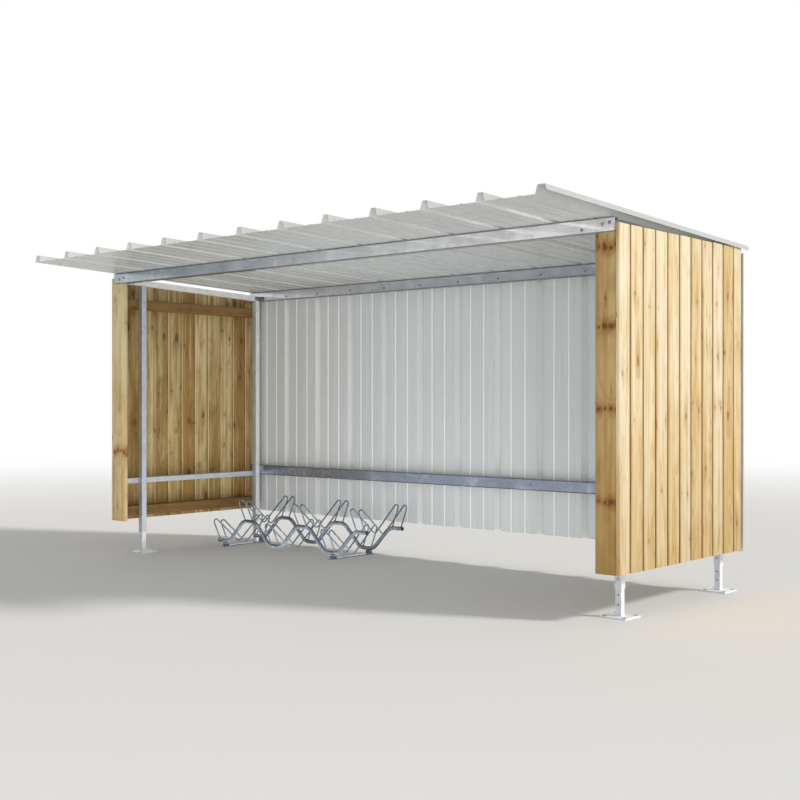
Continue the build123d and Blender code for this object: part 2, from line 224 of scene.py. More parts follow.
WEATHERED = (0.84, 0.88, 0.70)
GROWTH_RING = (0.74, 0.60, 0.42)
STAINED_EDGE = (0.72, 0.54, 0.32)
DAMP_FOOT = (0.80, 0.70, 0.48)
FIBRE = (0.66, 0.55, 0.40)
ROUND_KNOT = (0.64, 0.45, 0.26)
JOINT_SHADE = (0.34, 0.245, 0.11)


def knot_marks(m, across, along, ragged, cell, size, share):
    """Core, rim and halo of knots: one candidate in each cell, its halo drawn out along the grain."""
    wide, long, small, large = cell
    found = m.cells(m.join(m.times(across, 1 / wide), m.times(along, 1 / long)), 1.0, 0.9, flat=True)
    centre, chance = m.split(found["Position"]), m.split(found["Color"])
    off_x = m.math("SUBTRACT", across, m.times(centre[X], wide))
    off_z = m.math("SUBTRACT", along, m.times(centre[Y], long))
    off_z = m.times(off_z, m.spread(chance[2], 0.0, 1.0, 0.45, 0.95))
    away = m.times(m.length(off_x, off_z), m.spread(ragged, 0.25, 0.75, 0.55, 1.5))
    radius = m.spread(chance[0], 0.0, 1.0, small * size, large * size)
    there = m.times(m.math("LESS_THAN", chance[1], share), m.spread(chance[2], 0.0, 1.0, 1.0, 0.25))
    ratio = m.math("DIVIDE", away, radius)
    flame = m.math("DIVIDE", m.length(off_x, m.times(off_z, 0.34)), radius)
    rim = m.times(m.soft(ratio, 0.7, 1.0), m.soft(ratio, 1.45, 1.05))
    return [m.times(mark, there) for mark in (m.soft(ratio, 1.2, 0.5), rim, m.soft(flame, 3.4, 0.6))]


def whorl_marks(m, across, height, ragged, spot):
    """Core, halo and band of a row of knots at one height, one knot in each column of the board."""
    place = m.times(m.add(across, WHORL_START), 1 / WHORL_PITCH)
    column = m.math("FLOOR", place)
    jitter = m.noise(m.join(m.times(column, 3.7), spot * 9.1), 1.0, 0.0)
    girth = m.spread(m.noise(m.join(m.times(column, 5.3), spot * 6.7, 4.0), 1.0, 0.0), 0.34, 0.66, 0.35, 1.65)
    off_x = m.times(m.add(m.math("FRACT", place), -0.5), WHORL_PITCH)
    off_z = m.add(m.add(height, -spot), m.times(m.add(jitter, -0.5), 40 * MM))
    away = m.math("DIVIDE", m.times(m.length(off_x, off_z), m.spread(ragged, 0.25, 0.75, 0.55, 1.6)), girth)
    band = m.times(m.soft(m.math("ABSOLUTE", off_z), 70 * MM, 6 * MM), 0.7)
    return m.soft(away, 14.5 * MM, 6 * MM), m.soft(away, 40 * MM, 8 * MM), band


def pine(name, pale, honey, brown, heart, knots=0.4, knot_size=1.0, whorls=(), warm_rim=0.0, pale_rim=0.0,
         low_stain=0.3):
    """Planed softwood. The attribute grain holds each board's own across, depth and length, tone its warmth,
    sunk how far a point lies behind the face and edge which long edge is near, from -1 to 1. Heart is the
    colour of a knot, knots the share of the large cells that hold one, whorls are the heights of rows of
    knots, the rims are stained or pale bands along the edges, and low_stain darkens the end near the
    ground."""
    m = Shader(name)
    across, depth, along = m.split(m.attribute("grain", "Vector"))
    tone, sunk, edge = (m.attribute(label, "Fac") for label in ("tone", "sunk", "edge"))
    height = m.split(m.object_place())[Z]

    def grain_noise(by_across, by_along, by_depth, *more):
        """Noise with its own scale along each direction of the board."""
        place = m.join(m.times(across, by_across), m.times(along, by_along), m.times(depth, by_depth))
        return m.noise(place, 1.0, *more)

    ragged = grain_noise(75.0, 45.0, 60.0, 2.0, 0.6)
    core = rim = halo = 0.0
    for cell, share in ((LARGE_KNOTS, knots), (SMALL_KNOTS, SMALL_KNOT_SHARE)):
        marks = knot_marks(m, across, along, ragged, cell, knot_size, share)
        core, rim, halo = (m.add(total, mark) for total, mark in zip((core, rim, halo), marks))
    for spot in whorls:
        row_core, row_halo, band = whorl_marks(m, across, height, ragged, spot)
        core = m.add(core, row_core)
        halo = m.add(m.add(halo, row_halo), band)

    # growth rings: distance from a pith that wanders along the board; they bend round the knots
    sway = grain_noise(2.0, 1.3, 2.0)
    bent = m.add(m.add(m.length(across, depth), m.times(m.add(sway, -0.5), 0.12)), m.times(halo, 9 * MM))
    rings = m.math("FRACT", m.times(m.add(bent, 1.0), 1 / RING_WIDTH))
    line = m.times(m.soft(rings, 0.35, 0.88), m.spread(rings, 1.0, 0.92))

    # heartwood streaks, stained patches, fine fibres, long dark checks and the bands along the edges
    streaks = grain_noise(38.0, 1.0, 30.0, 3.0, 0.62, 0.5)
    patches = grain_noise(9.0, 2.6, 9.0, 3.0, 0.6, 0.8)
    fibres = grain_noise(560.0, 9.0, 500.0, 2.0, 0.7)
    leaning = m.times(m.add(across, m.times(along, 0.10)), 85.0)
    checks = m.noise(m.join(leaning, m.times(along, 5.0), m.times(depth, 60.0)), 1.0, 1.0)
    checks = m.times(m.soft(checks, 0.68, 0.75), m.spread(patches, 0.42, 0.60))
    wander = m.noise(m.join(m.times(edge, 0.6), m.times(along, 1.3), m.times(depth, 2.0)), 1.0)
    stained = m.soft(m.add(m.math("ABSOLUTE", edge), m.spread(wander, 0.3, 0.7, -0.75, 0.25)), 0.25, 0.95)
    bright = m.soft(m.add(m.times(edge, -1.0), m.spread(wander, 0.3, 0.7, 0.3, -0.3)), 0.45, 0.8)
    bright = m.times(bright, m.spread(sunk, 2.0 * MM, 0.8 * MM))

    warm = m.add(m.times(tone, 0.80), m.spread(streaks, 0.34, 0.68, -0.30, 0.50))
    warm = m.add(warm, m.spread(patches, 0.35, 0.68, -0.18, 0.30))
    warm = m.math("ADD", warm, m.spread(height, 0.3, 1.9, 0.20, -0.10), clamp=True)
    colour = m.blend(warm, pale, honey)
    colour = m.blend(m.spread(tone, 1.0, 2.0), colour, brown)
    colour = m.tinted(m.soft(patches, 0.50, 0.72, 0.0, 0.34), colour, WEATHERED)
    colour = m.tinted(m.times(line, m.add(0.16, m.times(warm, 0.26))), colour, GROWTH_RING)
    if warm_rim:
        colour = m.tinted(m.times(stained, warm_rim), colour, STAINED_EDGE)
    if pale_rim:
        colour = m.blend(m.times(bright, pale_rim), colour, pale)
    colour = m.tinted(m.spread(height, 0.2, 1.15, low_stain, 0.0), colour, DAMP_FOOT)
    colour = m.tinted(m.spread(fibres, 0.3, 0.75, 0.0, 0.16), colour, FIBRE)
    colour = m.tinted(m.clamped(halo, 0.55), colour, ROUND_KNOT)
    colour = m.blend(m.clamped(core, 0.80), colour, heart)
    colour = m.blend(m.clamped(rim, 0.30), colour, tuple(c * 0.5 for c in heart))
    colour = m.blend(m.times(checks, 0.60), colour, heart)
    # painted shade: the joints darken with depth behind the face
    colour = m.tinted(m.spread(sunk, 0.8 * MM, 5.2 * MM, 0.0, 0.94), colour, JOINT_SHADE)
    relief = m.add(m.add(m.times(fibres, 0.5), m.times(line, 0.35)), m.times(core, -0.5))
    m.set(Base_Color=colour, Roughness=m.spread(streaks, 0.3, 0.7, 0.50, 0.66),
          Normal=m.bump(relief, 0.6 * MM, 0.55), Specular_IOR_Level=0.35)
    return m.material


# finishes of steel and plastic
FOOT_MIDDLE = ((LEFT_POST + RIGHT_POST) / 2, (FRONT_POST_Y + REAR_POST_Y) / 2)
FOOT_SPREAD = ((RIGHT_POST - LEFT_POST) / 2, (REAR_POST_Y - FRONT_POST_Y) / 2)
BLOOM = (0.70, 0.73, 0.78)
BEND_SHADE = (0.035, 0.038, 0.045)
FOOT_HOLE_SHADE = (0.045, 0.04, 0.038)
DUST = (0.42, 0.40, 0.34)
SHEET_GREY = (0.53, 0.55, 0.535)
BLACK, SCUFFED = (0.018, 0.018, 0.020), (0.045, 0.045, 0.048)


def painted_bend_shade(m, place, bends):
    """Painted shade: bands at a channel's lower and upper bend, given by their heights, for the shadow gap
    under the sheet at the top and a painted dark reflection at the lower bend.
    """
    height = m.split(place)[Z]
    low, high = bends
    return m.math("MAXIMUM", m.soft(height, low + 8.5 * MM, low + 3.5 * MM),
                  m.soft(height, high - 6.5 * MM, high - 2.5 * MM))


def painted_foot_shade(m, place):
    """Painted shade: the inside of the legs and rings round the base plates' bolt holes."""
    spot = m.split(place)
    off = []
    for axis in (X, Y):
        from_middle = m.math("ABSOLUTE", m.add(spot[axis], -FOOT_MIDDLE[axis]))
        off.append(m.math("ABSOLUTE", m.add(from_middle, -FOOT_SPREAD[axis])))
    away = m.length(*(m.add(distance, -BOLT_OFFSET) for distance in off))
    inside = m.spread(m.math("MAXIMUM", *off), LEG_BORE_HALF + 1.0 * MM, LEG_BORE_HALF)
    return m.math("MAXIMUM", m.soft(away, 14.5 * MM, 8.5 * MM), inside)


def zinc(name, tint, rough, spangle, size, metallic=0.85, cloud=0.22, cloud_scale=6.0, left=None, front=None,
         bends=None, feet=False):
    """Galvanised steel: faint spangle, cloudy white bloom, darker patches and fine drawing marks. Left is the
    tint at the left end, blended in along the piece as painted light and shade, and front the darker tint of
    the faces that look out of the open side, as painted shade. Bends are the heights of a channel's lower and
    upper bend, made dark there as painted shade. Feet get painted shade inside the legs and round the base
    plates' bolt holes."""
    m = Shader(name)
    place = m.object_place()
    # painted light and shade: the tint shifts from the left end to the right along the piece
    if left:
        tint = m.blend(m.soft(m.split(place)[X], -1.5, 2.1), left, tint)
    # painted shade: faces that look out of the open side take the darker front tint
    if front:
        tint = m.blend(m.spread(m.split(m.normal())[Y], -0.4, -0.7), tint, front)
    crystal = m.split(m.cells(place, size)["Color"])[0]
    bloom = m.noise(place, cloud_scale, 4.0, 0.55, 0.6)
    patch = m.noise(place, cloud_scale * 4.3, 3.0, 0.6, 0.3)
    fine = m.noise(place, 420.0)
    level = m.add(m.add(1.0 - 0.10 * spangle, m.times(crystal, 0.20 * spangle)),
                  m.add(m.spread(bloom, 0.3, 0.7, -cloud * 0.5, cloud * 0.5),
                        m.spread(patch, 0.35, 0.7, 0.05, -0.09)))
    base = m.blend(m.soft(bloom, 0.52, 0.74, 0.0, 0.36), m.levelled(tint, level), BLOOM)
    # painted shade: the bends are made dark and less metallic
    if bends:
        dark = painted_bend_shade(m, place, bends)
        base = m.blend(m.times(dark, 0.78), base, BEND_SHADE)
        metallic = m.add(metallic, m.times(dark, -0.8))
    # painted shade inside the legs and round the bolt holes
    if feet:
        base = m.blend(m.times(painted_foot_shade(m, place), 0.90), base, FOOT_HOLE_SHADE)
    gloss = m.add(m.add(rough, m.spread(crystal, 0.0, 1.0, -0.03 * spangle, 0.04 * spangle)),
                  m.add(m.spread(bloom, 0.4, 0.75, 0.0, 0.12), m.spread(patch, 0.4, 0.7, -0.03, 0.06)))
    relief = m.add(m.times(crystal, 0.5 * spangle), m.times(fine, 0.4))
    m.set(Base_Color=base, Metallic=metallic, Roughness=gloss, Normal=m.bump(relief, 0.12 * MM, 0.5))
    return m.material


def coated(name, inner, painted_light_fold, steep, painted_light_rim, outward, run):
    """Coil-coated sheet: grey outside, whiter on its back, satin, with dust along the fall of the water. The
    back's coat is painted paler, as painted light, on folds that turn to the right more steeply than a limit,
    and the right-hand rim is all painted light or has none of it. Outward is the axis that the outer side
    faces, and run the scale of the streaks along each axis."""
    m = Shader(name)
    place = m.object_place()
    direction = m.split(m.normal())
    outside = m.spread(direction[outward], -0.05, 0.05)
    streak = m.noise(m.scaled(place, run), 1.0, 2.5, 0.55)
    wide = m.noise(m.scaled(place, [r * 0.22 for r in run]), 1.0)
    waves = m.noise(m.scaled(place, [r * 0.5 for r in run]), 1.0, 1.0)
    cloud = m.noise(place, 1.7, 3.0)
    peel = m.noise(place, 900.0, 1.0)
    # painted light: a mask on the folds that face the right, where the back's coat is made paler
    pale = m.soft(direction[X], steep, steep + 0.25)
    x = m.split(place)[X]
    # painted light on the right-hand rim: the wall's rim is made all pale, the roof's rim gets none
    if painted_light_rim:
        pale = m.math("MAXIMUM", pale, m.spread(x, RIGHT_FACE - 15 * MM, RIGHT_FACE - 9 * MM))
    else:
        pale = m.times(pale, m.spread(x, RIGHT_FACE - 55 * MM, RIGHT_FACE - 65 * MM))
    level = m.add(m.add(m.spread(streak, 0.3, 0.7, 0.985, 1.01), m.spread(cloud, 0.3, 0.7, -0.02, 0.02)),
                  m.spread(wide, 0.35, 0.65, -0.02, 0.02))
    base = m.levelled(m.blend(outside, m.blend(pale, inner, painted_light_fold), SHEET_GREY), level)
    dust = m.times(m.soft(streak, 0.56, 0.78, 0.0, 0.22), m.add(m.times(outside, 0.94), 0.06))
    m.set(Base_Color=m.blend(dust, base, DUST), Roughness=m.spread(streak, 0.3, 0.7, 0.22, 0.30),
          Specular_IOR_Level=0.5, Normal=m.bump(peel, 0.04 * MM, 0.3, m.bump(waves, 1.2 * MM, 0.4)))
    return m.material


def black_plastic(name):
    m = Shader(name)
    grain = m.noise(m.object_place(), 1500.0)
    scuff = m.noise(m.object_place(), 60.0, 3.0)
    m.set(Base_Color=m.blend(m.spread(scuff, 0.4, 0.7, 0.0, 0.5), BLACK, SCUFFED),
          Roughness=m.spread(scuff, 0.3, 0.7, 0.42, 0.6), Normal=m.bump(grain, 0.1 * MM, 0.4))
    return m.material


# finishes of the pieces
PALE = (0.88, 0.77, 0.56)
HONEY = (0.72, 0.53, 0.235)
BROWN = (0.42, 0.235, 0.085)
KNOT = (0.20, 0.085, 0.022)
board_wood = pine("pine_boards", PALE, HONEY, BROWN, KNOT, knots=0.32, knot_size=1.25, warm_rim=0.65,
                  low_stain=0.42)
inner_wood = pine("pine_left_boards", (0.82, 0.68, 0.37), (0.40, 0.262, 0.088), (0.62, 0.335, 0.105),
                  (0.045, 0.022, 0.007), knots=0.7, knot_size=1.85, warm_rim=0.55, pale_rim=0.85)
# the return boards' pine is darker than the side boards': partly its own browner wood, partly painted shade
# for boards that stand in shade
return_wood = pine("pine_return_board", (0.60, 0.445, 0.205), (0.46, 0.295, 0.10), (0.28, 0.145, 0.04),
                   (0.11, 0.038, 0.010), knots=0.12, whorls=(1.824, 1.438, 1.047, 0.588), warm_rim=0.4,
                   pale_rim=0.35, low_stain=0.9)
left_return_wood = pine("pine_left_return", (0.90, 0.75, 0.46), (0.72, 0.52, 0.255), BROWN, KNOT, knots=0.55,
                        knot_size=1.7, whorls=(0.72,), warm_rim=0.3)
batten_wood = pine("pine_battens", (0.30, 0.175, 0.060), (0.22, 0.12, 0.038), (0.15, 0.07, 0.02),
                   (0.06, 0.03, 0.01), knots=0.3)
# the beams' left tints are painted light and shade along their length
beam_zinc = zinc("galvanised_front_beam", (0.97, 0.97, 1.0), 0.10, 0.30, 70.0, cloud=0.30, cloud_scale=5.0,
                 left=(0.38, 0.43, 0.47), bends=(BEAM_BOTTOM, BEAM_TOP))
rear_zinc = zinc("galvanised_rear_beam", (0.44, 0.48, 0.57), 0.15, 0.25, 70.0, cloud_scale=4.0,
                 left=(0.62, 0.64, 0.68), bends=(REAR_BOTTOM, REAR_TOP))
rail_zinc = zinc("galvanised_mid_rail", (0.30, 0.345, 0.44), 0.22, 0.3, 70.0, cloud=0.14,
                 bends=(RAIL_BOTTOM, RAIL_TOP))
# the front tints below are painted shade on the faces that look out of the open side
post_zinc = zinc("galvanised_posts", (0.69, 0.72, 0.77), 0.34, 0.3, 110.0, metallic=0.35, cloud=0.10,
                 front=(0.44, 0.47, 0.53))
# painted light: a whiter copy of the posts' galvanising for the left rear post and the left top rail, which
# stand in bright light
painted_light_zinc = zinc("galvanised_painted_light", (0.96, 0.965, 0.97), 0.40, 0.2, 110.0, metallic=0.04, cloud=0.06,
                 front=(0.40, 0.42, 0.46))
foot_zinc = zinc("galvanised_feet", (0.94, 0.95, 0.97), 0.45, 0.3, 110.0, metallic=0.06, cloud=0.12,
                 front=(0.64, 0.66, 0.71), feet=True)
# painted shade: the cleats' galvanising is made dark for cleats that sit in shade
cleat_zinc = zinc("galvanised_cleats", (0.20, 0.21, 0.24), 0.45, 0.4, 110.0)
rack_zinc = zinc("galvanised_rack", (0.20, 0.24, 0.30), 0.18, 0.3, 240.0, cloud=0.26, cloud_scale=14.0)
bolt_zinc = zinc("plated_bolts", (0.30, 0.31, 0.35), 0.30, 0.2, 500.0)
# the second colour of each sheet is the painted light on its folds that face the right
roof_coat = coated("coated_roof_sheet", (0.55, 0.575, 0.575), (0.80, 0.82, 0.81), 0.60, False, Z,
                   (14.0, 0.6, 14.0))
wall_coat = coated("coated_wall_sheet", (0.65, 0.69, 0.705), (0.97, 0.98, 0.98), 0.12, True, Y,
                   (16.0, 16.0, 0.5))
plastic = black_plastic("black_caps")


def finish_of(name):
    if name.startswith("roof_sheet"):
        return roof_coat
    if name.startswith("wall_sheet"):
        return wall_coat
    if name in ("left_rear_post", "left_top_rail"):
        return painted_light_zinc
    if name.endswith("_foot") or name in ("right_front_post", "right_rear_post"):
        return foot_zinc
    if name.endswith(("_post", "_top_rail", "_side_rail")):
        return post_zinc
    if name.endswith("_cleat"):
        return cleat_zinc
    if name == "rear_mid_rail":
        return rail_zinc
    if name.startswith("rack"):
        return rack_zinc
    if name == "rear_beam":
        return rear_zinc
    return beam_zinc


for name, thing in nodes.items():
    thing.data.materials.clear()
    thing.data.materials.append(finish_of(name))


class Bag:
    """Collects the vertices and faces of one piece, and for timber each vertex's place in the grain, tone,
    depth behind the face and nearness to an edge."""

    def __init__(self):
        self.points = []
        self.faces = []
        self.grain = []
        self.tone = []
        self.sunk = []
        self.edge = []

    def add(self, points, faces, grain=(), tone=0.0, sunk=(), edge=()):
        start = len(self.points)
        self.points += [tuple(p) for p in points]
        self.faces += [tuple(start + i for i in face) for face in faces]
        self.grain += grain
        self.tone += [tone] * len(grain)
        self.sunk += sunk
        self.edge += edge

    def make(self, name, material, slot, stands_for=(), sharp=35):
        """The piece as an object, its edges sharp above an angle in degrees."""
        mesh = bpy.data.meshes.new(name)
        mesh.from_pydata(self.points, [], self.faces)
        if self.grain:
            field = mesh.attributes.new("grain", "FLOAT_VECTOR", "POINT")
            field.data.foreach_set("vector", [c for g in self.grain for c in g])
            for label, values in (("tone", self.tone), ("sunk", self.sunk), ("edge", self.edge)):
                field = mesh.attributes.new(label, "FLOAT", "POINT")
                field.data.foreach_set("value", values)
        mesh.polygons.foreach_set("use_smooth", [True] * len(mesh.polygons))
        mesh.set_sharp_from_angle(angle=radians(sharp))
        mesh.validate()
        mesh.update()
        mesh.materials.append(material)
        thing = bpy.data.objects.new(name, mesh)
        bpy.context.scene.collection.objects.link(thing)
        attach(thing, "root")
        if stands_for:
            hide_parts(*stands_for)


def lofted(rows, count):
    """Faces of a closed shape whose points come in rows of count each."""
    faces = []
    for row in range(rows - 1):
        for n in range(count):
            a, b = row * count + n, row * count + (n + 1) % count
            faces.append((a, b, b + count, a + count))
    faces.append(tuple(reversed(range(count))))
    faces.append(tuple(range((rows - 1) * count, rows * count)))
    return faces


def around(direction, sides, turn=0.0):
    """Unit vectors square to a direction, evenly round it."""
    axis = Vector(direction).normalized()
    side = axis.orthogonal().normalized()
    up = axis.cross(side)
    angles = [2 * pi * n / sides + turn for n in range(sides)]
    return [side * cos(angle) + up * sin(angle) for angle in angles]


def turned(bag, at, direction, profile, sides, turn=0.0):
    """A turned shape: profile is (radius, height) from the outer foot to the middle of the top."""
    at = Vector(at)
    axis = Vector(direction).normalized()
    spokes = around(direction, sides, turn)
    points = [at + axis * height + spoke * radius for radius, height in profile for spoke in spokes]
    bag.add(points, lofted(len(profile), sides))


def hex_bolt(bag, at, direction, across):
    """Washer and hexagon head with its chamfered crown. Across is the width over the head's flats."""
    washer = across * 0.72
    r = across / 2 / cos(pi / 6)
    thick = 1.6 * MM
    turned(bag, at, direction, [(washer, 0), (washer, 1.2 * MM), (washer * 0.96, thick)], 24)
    head = Vector(at) + Vector(direction).normalized() * thick
    turned(bag, head, direction, [(r, 0), (r, across * 0.34), (r * 0.88, across * 0.40)], 6, 0.3)


def sheet_screw(bag, seals, at, direction, turn):
    """Self-drilling screw with a sealing washer, as used on coated sheet."""
    at = Vector(at)
    axis = Vector(direction).normalized()
    seal = [(7.6 * MM, 0), (7.6 * MM, 1.4 * MM), (7.0 * MM, 2.0 * MM)]
    washer = [(7.8 * MM, 0), (7.2 * MM, 0.8 * MM), (5.6 * MM, 1.2 * MM)]
    head = [(4.5 * MM, 0), (4.5 * MM, 3.2 * MM), (3.9 * MM, 3.8 * MM)]
    turned(seals, at, axis, seal, 16)
    turned(bag, at + axis * 2.0 * MM, axis, washer, 16)
    turned(bag, at + axis * 3.0 * MM, axis, head, 6, turn)


def tube(bag, path, radius, sides):
    """A round bar along points that lie in one plane, its rings turned with the path."""
    path = [Vector(p) for p in path]
    crosses = ((here - before).cross(after - here) for before, here, after in zip(path, path[1:], path[2:]))
    plane = next(cross for cross in crosses if cross.length > 1e-9).normalized()
    points = []
    last = len(path) - 1
    for n, here in enumerate(path):
        forward = (path[min(n + 1, last)] - path[max(n - 1, 0)]).normalized()
        side = forward.cross(plane).normalized()
        for k in range(sides):
            angle = 2 * pi * k / sides
            points.append(here + (side * cos(angle) + plane * sin(angle)) * radius)
    bag.add(points, lofted(len(path), sides))


# timber
FIRST_BOARD, BOARD_PITCH, BOARD_THICK = 106 * MM, 125 * MM, 20 * MM
JOINT, INNER_JOINT = 4.5 * MM, 2.5 * MM  # from a board's edge to its face's edge, outside and inside
TONGUE, INNER_DEPTH = 8 * MM, 4.5 * MM
END_INSET, INNER_END_INSET, TONGUE_GAP = 0.6 * MM, 0.3 * MM, 0.1 * MM
ARRIS, INNER_ARRIS, INNER_ARRIS_DEPTH = 4.5 * MM, 1.2 * MM, 0.8 * MM
EASED = 0.3  # the share of an arris at which its middle point lies
SOFT_END = 1.2 * MM
RIM = 18 * MM  # width of the band along a board's edge that its stain can reach
PLANK_ARRIS, BATTEN_ARRIS = 2.2 * MM, 2.5 * MM
BOARD_GRAIN_STEP, PLANK_GRAIN_STEP = 3.71, 5.3  # from one piece to the next along the grain's pattern
RIGHT_TONES = (0.12, 0.46, 0.48, 0.10, 0.40, 0.02, 0.62, 0.52, 0.02, 0.98, 0.50)
LEFT_TONES = (1.7, 0.85, 0.30, 0.95, 0.55, 1.15, 0.35, 0.75, 0.25, 1.1, 0.7)


def lengthwise(bag, outline, place, low, high, shift, tone, fall=0.0, joints=()):
    """Extrudes an (across, depth, edge) outline along the grain, its ends a little softened and the far one
    cut to a fall. Joints are the edges that another board meets."""
    middle_x = sum(p[0] for p in outline) / len(outline)
    middle_y = sum(p[1] for p in outline) / len(outline)
    inset = [(middle_x + (a - middle_x) * 0.985, middle_y + (d - middle_y) * 0.92, e) for a, d, e in outline]
    rings = [(inset, low), (outline, low + SOFT_END), (outline, high - SOFT_END), (inset, high)]
    points, grain, sunk, edge = [], [], [], []
    for ring, z in rings:
        for a, d, e in ring:
            sunk.append(max(0.0, min(d, BOARD_THICK - d)) if e in joints else 0.0)
            edge.append(e)
            cut = (a - middle_x) * fall if z > (low + high) / 2 else 0.0
            points.append(place(a, d, z - cut))
            grain.append((a - middle_x + shift[0], d + shift[1], z - cut + shift[2]))
    bag.add(points, lofted(len(rings), len(outline)), grain, tone, sunk, edge)


def board_outline(first, last, a0, a1, dice):
    """Section of one board: face, eased arrises, tongue line and the fine joint of the inner face."""
    sunk = dice.uniform(0.0, 0.5 * MM)
    left = a0 + (END_INSET if first else JOINT)
    right = a1 - (END_INSET if last else JOINT)
    in_left = a0 + (INNER_END_INSET if first else INNER_JOINT)
    in_right = a1 - (INNER_END_INSET if last else INNER_JOINT)
    body_left, body_right = a0 + TONGUE_GAP, a1 - TONGUE_GAP
    thick = BOARD_THICK
    back, inner_ease = thick - INNER_DEPTH, thick - INNER_ARRIS_DEPTH
    part = ARRIS * EASED
    points = [(left + ARRIS, sunk, -1), (left + RIM, sunk, 0), (right - RIM, sunk, 0),
              (right - ARRIS, sunk, 1), (right - part, sunk + part, 1), (right, sunk + ARRIS, 1)]
    if not last:
        points += [(right, TONGUE, 1), (body_right, TONGUE, 1), (body_right, back, 1), (in_right, back, 1)]
    points += [(in_right, inner_ease, 1), (in_right - INNER_ARRIS, thick, 1), (in_right - RIM, thick, 0),
               (in_left + RIM, thick, 0), (in_left + INNER_ARRIS, thick, -1), (in_left, inner_ease, -1)]
    if not first:
        points += [(in_left, back, -1), (body_left, back, -1), (body_left, TONGUE, -1), (left, TONGUE, -1)]
    return points + [(left, sunk + ARRIS, -1), (left + part, sunk + part, -1)]


def side_panel(node, face, inward, tones, seed, material, slot, fall=0.0):
    """An end panel's boards, each with its own grain, tone and small steps, their tops cut to a fall."""
    dice = random.Random(seed)
    bag = Bag()
    last = len(tones) - 1

    def place(a, d, z):
        return face + inward * d, a, z

    for n, tone in enumerate(tones):
        a0 = PANEL_FRONT + FIRST_BOARD + (n - 1) * BOARD_PITCH if n else PANEL_FRONT
        a1 = PANEL_REAR if n == last else PANEL_FRONT + FIRST_BOARD + n * BOARD_PITCH
        outline = board_outline(n == 0, n == last, a0, a1, dice)
        shift = (dice.uniform(-0.035, 0.035), dice.uniform(0.02, 0.075), BOARD_GRAIN_STEP * n + seed)
        low = PANEL_BOTTOM + dice.uniform(0.0, 1.2 * MM)
        high = PANEL_TOP - dice.uniform(0.0, 2.0 * MM) - ((a0 + a1) / 2 - PANEL_FRONT) * fall
        joints = [edge for edge, free in ((-1, n == 0), (1, n == last)) if not free]
        lengthwise(bag, outline, place, low, high, shift, tone, fall, joints)
    bag.make(node + "_timber", material, slot, stands_for=(node,), sharp=50)


def plank(node, grain_axis, face_axis, tone, seed, material, slot, ease):
    """A planed length that stands where its node does, its grain along one axis."""
    dice = random.Random(seed)
    low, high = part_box(node)
    wide_axis = ({X, Y, Z} - {grain_axis, face_axis}).pop()
    a0, a1, d0, d1 = low[wide_axis], high[wide_axis], low[face_axis], high[face_axis]
    part = ease * EASED
    outline = [(a0 + ease, d0, -1), (a0 + RIM, d0, 0), (a1 - RIM, d0, 0), (a1 - ease, d0, 1),
               (a1 - part, d0 + part, 1), (a1, d0 + ease, 1), (a1, d1 - ease, 1),
               (a1 - part, d1 - part, 1), (a1 - ease, d1, 1), (a1 - RIM, d1, 0), (a0 + RIM, d1, 0),
               (a0 + ease, d1, -1), (a0 + part, d1 - part, -1), (a0, d1 - ease, -1),
               (a0, d0 + ease, -1), (a0 + part, d0 + part, -1)]

    def place(a, d, z):
        spot = [0.0, 0.0, 0.0]
        spot[wide_axis], spot[face_axis], spot[grain_axis] = a, d, z
        return tuple(spot)

    shift = (dice.uniform(-0.03, 0.03), dice.uniform(0.02, 0.06), PLANK_GRAIN_STEP * seed)
    bag = Bag()
    lengthwise(bag, outline, place, low[grain_axis], high[grain_axis], shift, tone)
    bag.make(node + "_timber", material, slot, stands_for=(node,), sharp=50)


side_panel("right_side_boards", RIGHT_FACE, -1, RIGHT_TONES, 5, board_wood, "board_right")
side_panel("left_side_boards", LEFT_FACE, 1, LEFT_TONES, 11, inner_wood, "board_left", tan(SLOPE))
plank("right_return_board", Z, Y, 0.55, 21, return_wood, "return_timber", PLANK_ARRIS)
plank("left_return_board", Z, Y, 0.35, 22, left_return_wood, "return_timber", PLANK_ARRIS)
for number, end in enumerate(("left_upper", "left_lower", "right_upper", "right_lower")):
    plank(end + "_batten", Y, X, 0.4 + 0.1 * number, 31 + number, batten_wood, "batten_timber",
          BATTEN_ARRIS)


# fixings of the frame
FRAME_BOLT, SMALL_BOLT = 12 * MM, 11 * MM
FRONT_BEAM_BOLTS = ((1.949, 1.936), (1.990, 1.941), (1.833, 1.917), (-1.967, 1.926), (-1.915, 1.934))
MID_RAIL_BOLTS = (-0.414, -0.291, 0.635, 1.565, -1.435)
REAR_BOLT_ASIDE, REAR_BOLT_HEIGHT = 30 * MM, 1872 * MM
FOOT_BOLT_HEIGHT = 189 * MM
CLEAT_GAP, CLEAT_WALL = 0.3 * MM, 4 * MM
CLEAT_BOLT, CLEAT_BOLT_UP = 26 * MM, 16 * MM
WALL_SCREW_ASIDE, WALL_SCREW_DOWN = 33 * MM, 45 * MM
BEAD = 4.2 * MM


def rib_x(n):
    """Middle of a rib. The first one is at the left."""
    return LAST_RIB - (RIBS - 1 - n) * RIB_PITCH


